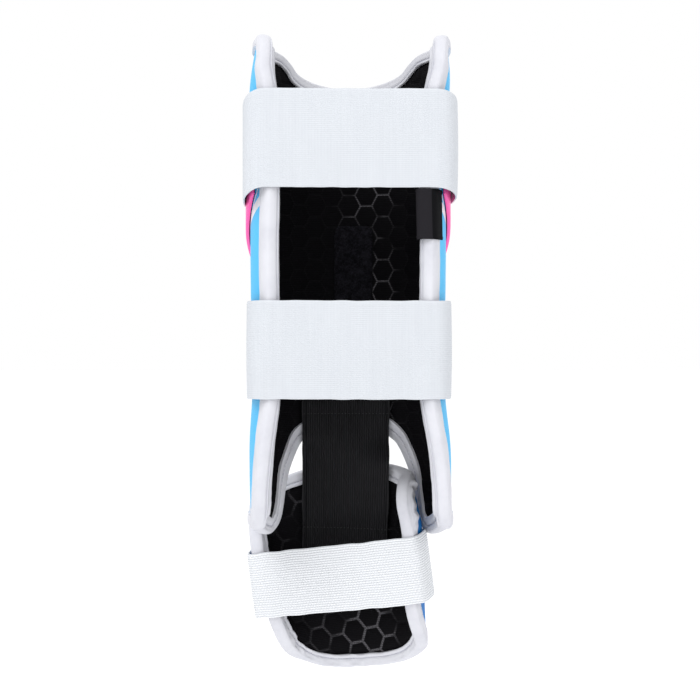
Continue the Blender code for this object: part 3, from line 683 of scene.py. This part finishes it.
def seamShare(guard, around, height):  # where the groove lies, and how much is at the open sides
    form = bindingForm
    side = ease((np.abs(around) / guard.girth - form["sideFrom"]) / form["sideFade"])
    if not guard.form["arched"]:
        return np.full(len(around), form["footSeam"]), 0 * side
    inner = np.where(height > 0, form["topSeam"], form["archSeam"])
    return inner + (form["sideSeam"] - inner) * side, side


def addBinding(guard, name, node, seed, pucker, proud):
    form, walls = bindingForm, wallForm
    loop, out, at = guard.outline(form["spacing"])
    s, z = loop.T
    width = bindingWidth(guard, s, z)
    normal = guard.normal(s, z)
    edge = guard.outer(s, z)
    probe = guard.outer(s + out[:, 0] * mm, z + out[:, 1] * mm) - edge
    away = unit(probe - normal * (probe * normal).sum(1, keepdims=True))
    thin = padBack + walls["padEdge"]
    wobble = 1 + pucker * ripple(at / form["wobble"], seed) \
        + 0.5 * pucker * ripple(at / form["fineWobble"], seed + 1)
    sway = 1 + form["sway"] * ripple(at / form["swayLong"], seed + 2)
    if not guard.form["arched"]:  # gathers at the toe's left, and a loose right flange
        gather = ease((-z - form["gatherFrom"]) / form["gatherFade"]) * (s < 0)
        wobble += form["gather"] * gather * ripple(at / form["gatherLong"], seed + 3)
        loose = ease((z - form["looseFrom"]) / form["looseFade"]) \
            * ease((s - 0.75 * guard.girth) / (0.1 * guard.girth))
        wave = form["looseWave"] * ripple(at / form["looseLong"], seed + 4)
        proud = proud + form["loose"] * loose * (1 + wave)

    def within(share, inset):
        u, v = s - out[:, 0] * width * share * sway, z - out[:, 1] * width * share * sway
        return guard.point(u, v, inset)

    def faceAt(share):
        return guard.padFace(width * share) + walls["padClear"]

    def past(distance, inset):  # beyond the edge, on the flat
        return edge + away * np.reshape(distance, (-1, 1)) - normal * inset

    wall = walls["foldWall"]
    seam, side = seamShare(guard, s, z)
    rings = [within(row["share"], -proud * (walls["foldGap"] + wall * row["lift"] * wobble))
             for row in form["outer"]]
    first = -0.7 * (walls["foldGap"] + wall)
    last = thin + walls["padClear"] + wall
    for k in range(form["turn"]):
        turn = (k + 0.5) / form["turn"] * math.pi
        inset = (first + last) / 2 - (last - first) / 2 * math.cos(turn)
        notch, lip = (size * hump(turn, middle, wide) for middle, wide, size in (form["notch"], form["lip"]))
        bulge = (0.9 + 0.1 * wobble) * (1 + side * (lip - notch))
        rings.append(past(walls["roll"] * math.sin(turn) ** form["round"] * bulge, inset))
    stand = form["ridge"] + (form["sideRidge"] - form["ridge"]) * side
    for row in form["inner"]:
        beyond = max(row["part"] - 0.5, 0.0) / 0.5
        share = min(row["part"], 0.5) / 0.5 * seam + beyond * (1 - seam)
        rings.append(within(share, faceAt(share) + wall * (row["lift"] * wobble + row["ridge"] * stand)))
    rings += [within(0.5, faceAt(0.5) - 0.4 * mm), past(-0.5 * mm, thin + 0.5 * mm),
              past(-0.5 * mm, -0.5 * mm)]  # back through the fold, out of sight
    rings = guard.placed(np.stack(rings, 1))
    across = np.concatenate(([0.0], np.cumsum(np.linalg.norm(np.diff(rings, axis=1), axis=2).mean(0))))
    uv = np.stack(np.broadcast_arrays(at[:, None], across[None]), -1)
    sweepPiece(name, rings, uv, materials["tape"], "white_binding", (node,), flat=70)


def addSeam(guard, name, proud):  # the binding's stitches, inside and outside
    form, walls = bindingForm, wallForm
    loop, out, _ = guard.outline(form["stitch"])
    s, z = loop.T
    width = bindingWidth(guard, s, z)
    centres, tips = [], []
    for share, inside in ((seamShare(guard, s, z)[0], True), (form["seam"], False)):
        deep = width * share
        u, v = s - out[:, 0] * deep, z - out[:, 1] * deep
        inset = guard.padFace(deep) + walls["padClear"] if inside else -proud * walls["foldGap"] + 0 * s
        inset += form["proud"] if inside else -form["proud"]
        centres.append(guard.placed(guard.point(u, v, inset)))
        tips.append(guard.placed(guard.point(u, v, inset - mm)))
    along = np.concatenate([unit(np.roll(row, -1, 0) - np.roll(row, 1, 0)) for row in centres])
    centres, tips = np.concatenate(centres), np.concatenate(tips)
    up = unit(tips - centres)
    along = unit(along - up * (along * up).sum(1, keepdims=True))
    stitches(name, centres, along, up, form["thread"], materials["thread"], "white_binding")


addBinding(shin, "shin_edge", "shin_binding", seed=31, pucker=0.08, proud=0.85)
addBinding(foot, "foot_edge", "foot_binding", seed=41, pucker=0.20, proud=0.55)
addSeam(shin, "shin_edge_stitches", proud=0.85)
addSeam(foot, "foot_edge_stitches", proud=0.55)
print("bindings made")


# Front plate

def addPlate():
    form = plateForm
    around = form["reach"] * drawnIn(120, 0.7, 0.3)
    share = (1 + drawnIn(90, 0.6, 0.4)) / 2
    part = np.abs(around) / form["reach"]
    low = form["point"] + (form["cornerLow"] - form["point"]) * part
    high = form["top"] + (form["cornerTop"] - form["top"]) * part ** 2
    around, height = sheet(around, low, high, share)
    edge = np.minimum(np.minimum((height - low[:, None]) * form["slope"], high[:, None] - height),
                      form["reach"] - np.abs(around))
    fall = rounding(form["bevel"], edge) * form["round"]
    outer = shin.point(around, height, -form["gap"] - form["thick"] + fall)
    inner = shin.point(around, height, -form["gap"])
    wallPiece("front_plate", outer, inner, around, height, materials["pink"], "pink_plate",
              ("shin_plate",), flat=35)


addPlate()
print("front plate made")


# Straps

overPlate = plateForm["gap"] + plateForm["thick"] + 0.4 * mm
strapForm = {"thick": 1.8 * mm, "face": 0.6, "seat": 0.4 * mm, "round": 0.5, "reach": 76 * mm,
             "wide": 65 * mm, "selvedge": 1.6 * mm, "rim": 0.5 * mm, "rimDrop": 0.25 * mm,
             "edgeLong": 5 * mm, "bowLong": 40 * mm, "sagLong": 26 * mm, "rows": (3 * mm, 6 * mm),
             "stitch": 2.6 * mm, "thread": (1.8 * mm, 0.6 * mm, 0.5 * mm), "proud": 0.15 * mm}
topStrap = {"height": 139.5 * mm, "falls": (8 * mm, 5 * mm), "stand": overPlate - 1 * mm, "drop": 2.2}
footStrap = {"reach": 42 * mm, "wide": 46 * mm, "height": -1.8 * mm, "tilt": math.radians(1),
             "falls": (-2.5 * mm, -0.5 * mm), "stands": (3.4 * mm, 1.6 * mm)}
middleStand = 1 * mm


def strapSide(guard, side, reach, endSeat, stand, height):
    widest, form = guard.arc[-1], guard.form
    half = guard.outer(side * widest, height)[0] + side * stand
    flat = guard.outer(side * guard.girth, height)[0] - side * wallForm["roll"]
    rear = form["rear"] + wallForm["roll"] + strapForm["seat"]
    part = np.linspace(0, 1, 28)[:-1]
    s = reach + (widest - reach) * part
    front = guard.point(side * s, np.full(len(s), height), -endSeat - (stand - endSeat) * ease(part))[:, :2]
    angle = np.linspace(math.pi / 2, 0, 40)
    across = np.clip(np.sin(angle), 0, 1) ** strapForm["round"]
    back = np.clip(np.cos(angle), 0, 1) ** strapForm["round"]
    rear = np.stack([flat + (half - flat) * across, -rear * back], 1)
    return np.vstack([front, rear])


def addStrap(name, node, guard, reach, endSeat, stands, falls, height, width, tilt, rib, material,
             columns, seed, wear, drop=0):
    left, right = (strapSide(guard, side, reach, endSeat, stand, height + width / 2)
                   for side, stand in zip((-1, 1), stands))
    path, at = evenPath(np.vstack([right, left[::-1]]), columns)
    form, ahead = strapForm, unit(np.gradient(path, axis=0))
    out = np.stack([-ahead[:, 1], ahead[:, 0]], 1)
    out *= np.sign((out * path).sum(1))[:, None]
    out = unit(np.vstack([out[:1], out[:-2] + out[1:-1] + out[2:], out[-1:]]))
    forward = ease(1 + path[:, 1] / guard.form["rear"])
    if drop:  # it starts to fall as soon as it is past the open edge
        rim = guard.form["half"] - guard.form["pull"]
        beyond = (np.abs(path[:, 0]) - rim) / (np.abs(path[:, 0]).max() - rim)
        forward = np.where(path[:, 1] > -0.5 * guard.form["rear"], 1.0, np.clip(beyond, 0, 1) ** drop)
    fall = np.where(path[:, 0] > 0, falls[1], falls[0])
    middle = height + path[:, 0] * math.tan(tilt) - fall * forward
    across = np.linspace(-0.5, 0.5, int(width / rib * 4))
    edges = 1 + wear["edge"] * (ripple(at / form["edgeLong"], seed) / width)
    level = middle[:, None] + across[None] * width * edges[:, None]
    level += wear["bow"] * ripple(at / form["bowLong"], seed + 1, 3)[:, None]
    selvedge, rim = (ease((np.abs(across) - 0.5 + wide / width) / (form["rim"] / width))
                     for wide in (form["selvedge"], form["rim"]))
    face = form["thick"] * form["face"] - form["rimDrop"] * rim \
        + wear["rib"] * ribs((across + 0.5) * width, rib) * (1 - selvedge)
    behind = (path[:, 1] < -0.6 * guard.form["rear"])[:, None]
    sag = ripple(at / form["sagLong"], seed + 2, 4)[:, None] * np.cos(across * math.pi)[None]
    sag = np.abs(wear["sag"] * sag) * behind
    outer, inner = (np.concatenate([path[:, None] + out[:, None] * rise[..., None], level[..., None]], -1)
                    for rise in (face[None] + sag, sag))
    wallPiece(name, guard.placed(outer), guard.placed(inner), at[:, None], across * width, material,
              "white_elastic", (node,))
    return outer, at


def endStitches(name, guard, outer, at):  # the rows that sew a strap's two ends down
    form = strapForm
    centres, along, up = [], [], []
    for end in (*form["rows"], *(at[-1] - inset for inset in form["rows"])):
        column = np.argmin(np.abs(at - end))
        line = outer[column]
        beads = int(np.linalg.norm(line[-1] - line[0]) / form["stitch"])
        pick = np.linspace(0.02, 0.98, beads) * (len(line) - 1)
        row = pointsAt(line, np.arange(len(line)), pick)
        side = unit(outer[min(column + 1, len(at) - 1)].mean(0) - outer[max(column - 1, 0)].mean(0))
        way = unit(np.cross(side, [0, 0, 1.0]))
        way *= np.sign((way * row[0] * [1, 1, 0]).sum())
        centres.append(row + way * form["proud"])
        along.append(np.broadcast_to([0, 0, 1.0], row.shape))
        up.append(np.broadcast_to(way, row.shape))
    centres, along, up = (np.concatenate(part) for part in (centres, along, up))
    tips = [guard.placed(centres + part * mm) for part in (along, up)]
    centres = guard.placed(centres)
    stitches(name, centres, unit(tips[0] - centres), unit(tips[1] - centres), form["thread"],
             materials["thread"], "white_elastic")


smoothWear = {"edge": 0.35 * mm, "bow": 0.25 * mm, "rib": 0.22 * mm, "sag": 0.35 * mm}
coarseWear = {"edge": 0.55 * mm, "bow": 0.45 * mm, "rib": 0.34 * mm, "sag": 0.6 * mm}

for strapName, seat, stand, falls, level, seed, drop in (
        ("top_strap", overPlate, topStrap["stand"], topStrap["falls"], topStrap["height"], 51,
         topStrap["drop"]),
        ("middle_strap", strapForm["seat"], middleStand, (0.0, 0.0), 0.0, 61, 0)):
    band, along = addStrap(strapName + "_elastic", strapName, shin, strapForm["reach"], seat,
                           (stand, stand), falls, level, strapForm["wide"], 0.0, elasticForm["row"],
                           materials["elastic"], 120, seed, smoothWear, drop)
    endStitches(strapName + "_stitches", shin, band, along)
band, along = addStrap("foot_strap_elastic", "foot_strap", foot, footStrap["reach"], strapForm["seat"],
                       footStrap["stands"], footStrap["falls"], footStrap["height"],
                       footStrap["wide"], footStrap["tilt"], elasticForm["footRow"],
                       materials["footElastic"], 110, 71, coarseWear)
endStitches("foot_strap_stitches", foot, band, along)
print("straps made")


# The elastic between the two guards

linkForm = {"width": 62.7 * mm, "lowWidth": 60.3 * mm, "left": -31.8 * mm, "top": 6 * mm, "bottom": -146 * mm,
            "lift": 2.8 * mm, "thick": 1.8 * mm, "seams": (-45 * mm, -127 * mm), "selvedge": 1.2 * mm,
            # height, distance from the side and width of the ridge there, and of the dip beside it
            "ridge": (0.55 * mm, 2.6 * mm, 0.45 * mm), "dip": (0.25 * mm, 3.4 * mm, 0.35 * mm),
            "rib": 0.4 * mm, "sewn": 0.35 * mm, "sewnWide": 0.7 * mm, "bulge": 0.5 * mm,
            "bulgeUp": 17 * mm, "bulgeAcross": 21 * mm, "fray": 0.25 * mm, "frayLong": 6 * mm,
            "thread": (1.2 * mm, 0.5 * mm, 0.4 * mm), "proud": 0.25 * mm}


def padSheet(guard, low, high):  # the pad's full inner face, carried on past the edges
    around, height = np.meshgrid(np.linspace(-1, 1, 65) * linkForm["width"],
                                 np.linspace(low, high, 65), indexing="ij")
    deep = padBack + wallForm["pad"]
    points = guard.placed(guard.point(around, height, deep)).reshape(-1, 3)
    faces = [(i * 65 + j, (i + 1) * 65 + j, (i + 1) * 65 + j + 1, i * 65 + j + 1)
             for i in range(64) for j in range(64)]
    return BVHTree.FromPolygons(points.tolist(), faces)


def addLink():
    form = linkForm
    shinFace = padSheet(shin, shin.low, 2 * form["top"])
    footFace = padSheet(foot, foot.low, foot.high + 9 * mm)
    half, roll = form["width"] / 2, wallForm["roll"]
    reach = half + abs(form["left"] + half)
    shinEnd = float(shin.bottom(np.array([reach]))[0]) - roll
    ends = half * np.array([-1, 0, 1])
    footStart = foot.placed(foot.outer(ends, foot.top(ends)))[:, 2].max() + roll

    def face(which, x, z, part):
        hit = which.ray_cast(Vector((x, -shinForm["rear"], z)), Vector((0, 1, 0)))[0]
        return hit.y - strapForm["seat"] - form["lift"] * float(ease(part))

    t, u = np.linspace(0, 1, 153), np.linspace(0, 1, 84)
    points, flatX = np.empty((len(t), len(u), 3)), np.empty((len(t), len(u)))
    for n, down in enumerate(u):
        z = form["top"] + (form["bottom"] - form["top"]) * down
        width = form["width"] + (form["lowWidth"] - form["width"]) * down
        for k, across in enumerate(t):
            x = form["left"] + width * across
            if z >= shinEnd:
                y = face(shinFace, x, z, 2 * (form["top"] - z) / (form["top"] - shinEnd))
            elif z <= footStart:
                y = face(footFace, x, z, 2 * (z - form["bottom"]) / (footStart - form["bottom"]))
            else:
                part = float(ease((shinEnd - z) / (shinEnd - footStart)))
                y = face(shinFace, x, shinEnd, 1) * (1 - part) + face(footFace, x, footStart, 1) * part
            points[k, n] = x, y, z
            flatX[k, n] = across * form["width"]
    for _ in range(3):  # eases the two places where it leaves the pads
        points[:, 1:-1, 1] = (points[:, :-2, 1] + 2 * points[:, 1:-1, 1] + points[:, 2:, 1]) / 4
    side = np.minimum(flatX, form["width"] - flatX)
    ridge, dip = (tall * hump(side, *place) for tall, *place in (form["ridge"], form["dip"]))
    seam = form["sewn"] * sum(hump(points[..., 2], at, form["sewnWide"]) for at in form["seams"])
    bulge = form["bulge"] * ripple(points[..., 2] / form["bulgeUp"], 81, 4) \
        * ripple(flatX / form["bulgeAcross"], 82, 3)
    raised = form["rib"] * ribs(flatX, elasticForm["rib"]) * (side > form["selvedge"]) + ridge - dip
    front = points.copy()
    front[..., 1] -= form["thick"] * 0.75 + raised - seam + np.abs(bulge)
    fray = form["fray"] * ripple(points[..., 2] / form["frayLong"], 83)
    front[..., 0] += fray * np.sign(flatX - form["width"] / 2) * (side < 0.2 * mm)
    wallPiece("link_elastic", front, points, flatX, points[..., 2], materials["ribbed"], "black_elastic",
              ("link_strap",))
    row = np.concatenate([front[4:-3:6, np.argmin(np.abs(points[0, :, 2] - at))] for at in form["seams"]])
    row = row - [0, form["proud"], 0]
    along, up = (np.broadcast_to(way, row.shape) for way in ([1.0, 0, 0], [0, -1.0, 0]))
    stitches("link_stitches", row, along, up, form["thread"], materials["darkThread"], "black_elastic")


addLink()
print("link elastic made")


# Fastener patch and side label

patchForm = {"width": 31 * mm, "centre": 5.4 * mm, "top": 89 * mm, "bottom": 14 * mm, "corner": 6 * mm,
             "thick": 1 * mm, "seat": 0.6 * mm, "tuft": 0.35 * mm, "tuftRim": 1.2 * mm,
             "rim": 1.4 * mm, "sunk": 0.5 * mm, "seed": 7}


def addPatch():
    form = patchForm
    across = np.linspace(-0.5, 0.5, 72) * form["width"]
    cut = rounding(form["corner"], form["width"] / 2 - np.abs(across))
    low, high = form["bottom"] + cut, form["top"] - cut
    around, height = sheet(form["centre"] + across, low, high, np.linspace(0, 1, 150))
    deep = padBack + wallForm["pad"] + form["seat"] - form["sunk"]
    edge = np.minimum(form["width"] / 2 - np.abs(across)[:, None],
                      np.minimum(height - low[:, None], high[:, None] - height))
    draws = np.random.default_rng(form["seed"]).random(height.shape)
    tufts = draws * form["tuft"] * ease(edge / form["tuftRim"])
    rise = form["thick"] * (0.3 + 0.7 * ease(edge / form["rim"])) + form["sunk"]
    outer = shin.point(around, height, deep)
    inner = shin.point(around, height, deep + rise + tufts)
    wallPiece("loop_patch", outer, inner, around, height, materials["patch"], "black_pad",
              ("fastener_patch",), flat=180)


labelForm = {"top": 106.4 * mm, "bottom": 73 * mm, "thick": 0.5 * mm, "tab": 3 * mm, "wrap": 9 * mm,
             "lift": 2.1 * mm, "flat": (1.08, 0.75, 0.45, 0.15), "rearGap": 0.8 * mm, "sideGap": 0.4 * mm,
             "hem": 0.35 * mm, "hemIn": 1.6 * mm, "hemWide": 0.6 * mm,
             "curl": 0.25 * mm, "curlLong": 9 * mm, "curlFade": 12 * mm}


def addLabel():
    form, walls = labelForm, wallForm
    rear = -shinForm["rear"] - walls["roll"] - form["rearGap"]
    proud = walls["foldGap"] + walls["foldWall"] * 1.2 + form["sideGap"]
    lines = []
    for height in np.linspace(form["bottom"], form["top"], 40):
        rim = shin.outer(shin.girth, height)[0]
        fold = walls["padClear"] + walls["foldWall"] + form["lift"]
        inner = rim - padBack - walls["padEdge"] - fold
        s = shin.girth - shinForm["binding"] * np.array(form["flat"])
        wrap = shin.girth - form["wrap"] * np.arange(1, 4) / 3
        knots = np.vstack([
            shin.point(s, height, shin.padFace(shin.girth - s) + fold)[:, :2],
            (inner, rear + walls["roll"]), (inner + form["tab"], rear), (rim - 0.3 * mm, rear),
            (rim + proud, rear + walls["roll"]), shin.point(wrap, height, -proud)[:, :2]])
        fine = evenPath(knots, 45)[0]
        for _ in range(4):
            fine[1:-1] = (fine[:-2] + 2 * fine[1:-1] + fine[2:]) / 4
        lines.append(np.column_stack([fine, np.full(len(fine), height)]))
    points = np.stack(lines, 1)
    at = travelled(points[:, 0])
    ahead = np.gradient(points[..., :2], axis=0)
    out = unit(np.stack([ahead[..., 1], -ahead[..., 0], 0 * ahead[..., 0]], -1))
    height = points[..., 2]
    ends = np.minimum(height - form["bottom"], form["top"] - height)
    hem = form["hem"] * hump(ends, form["hemIn"], form["hemWide"])
    curl = form["curl"] * ripple(height / form["curlLong"], 91, 3) * ease(1 - at / form["curlFade"])[:, None]
    inner = points + out * curl[..., None]
    outer = inner + out * (form["thick"] + hem)[..., None]
    wallPiece("bare_side_label", outer, inner, at[:, None], height, materials["label"], "black_elastic",
              ("side_label",))


addPatch()
addLabel()
print("patch and label made")


# Floor, light and camera

stageForm = {"floor": -0.42, "size": 60.0, "glow": 0.14, "lampAim": (0.0, 0.0, 0.03),
             "camera": (-0.026, -1.049, 0.0), "aim": (0.0, -0.049, 0.0), "lens": 78.3, "sensor": 36.0,
             "lights": (("key", (-0.9, -1.3, 1.5), 1.3, 22), ("fill", (1.3, -1.4, 0.6), 1.5, 5),
                        ("back", (0.3, 1.3, 1.2), 1.4, 8))}


def floorBuild(wire, around, height, place):
    return {"Base Color": wire.mix(wire.noise(3.0, 3.0, 0.6, place), "floor", "floorLit")}


def addFloor():
    bpy.ops.mesh.primitive_plane_add(size=stageForm["size"], location=(0, 0, stageForm["floor"]))
    floor = bpy.context.object
    floor.name = "floor"
    floor.data.materials.append(newMaterial("pale_floor", floorBuild, 0.9, glow=stageForm["glow"]))


def aimed(name, data, place, aim):  # a lamp or the camera, turned to what it looks at
    thing = bpy.data.objects.new(name, data)
    bpy.context.collection.objects.link(thing)
    thing.location = place
    thing.rotation_euler = (Vector(aim) - Vector(place)).to_track_quat("-Z", "Y").to_euler()
    return thing


def addWorld():
    world = bpy.data.worlds.new("studio")
    world.use_nodes = True
    background = world.node_tree.nodes["Background"]
    background.inputs["Color"].default_value = (1, 1, 1, 1)
    background.inputs["Strength"].default_value = 1.0
    bpy.context.scene.world = world
    bpy.context.scene.view_settings.view_transform = "Standard"


addFloor()
for name, place, size, power in stageForm["lights"]:
    light = bpy.data.lights.new(name, "AREA")
    light.size, light.energy = size, power
    aimed(name, light, place, stageForm["lampAim"])
addWorld()
camera = aimed("camera", bpy.data.cameras.new("camera"), stageForm["camera"], stageForm["aim"])
camera.data.lens, camera.data.sensor_width = stageForm["lens"], stageForm["sensor"]
camera.data.clip_end = 100.0
bpy.context.scene.camera = camera
print("stage made")
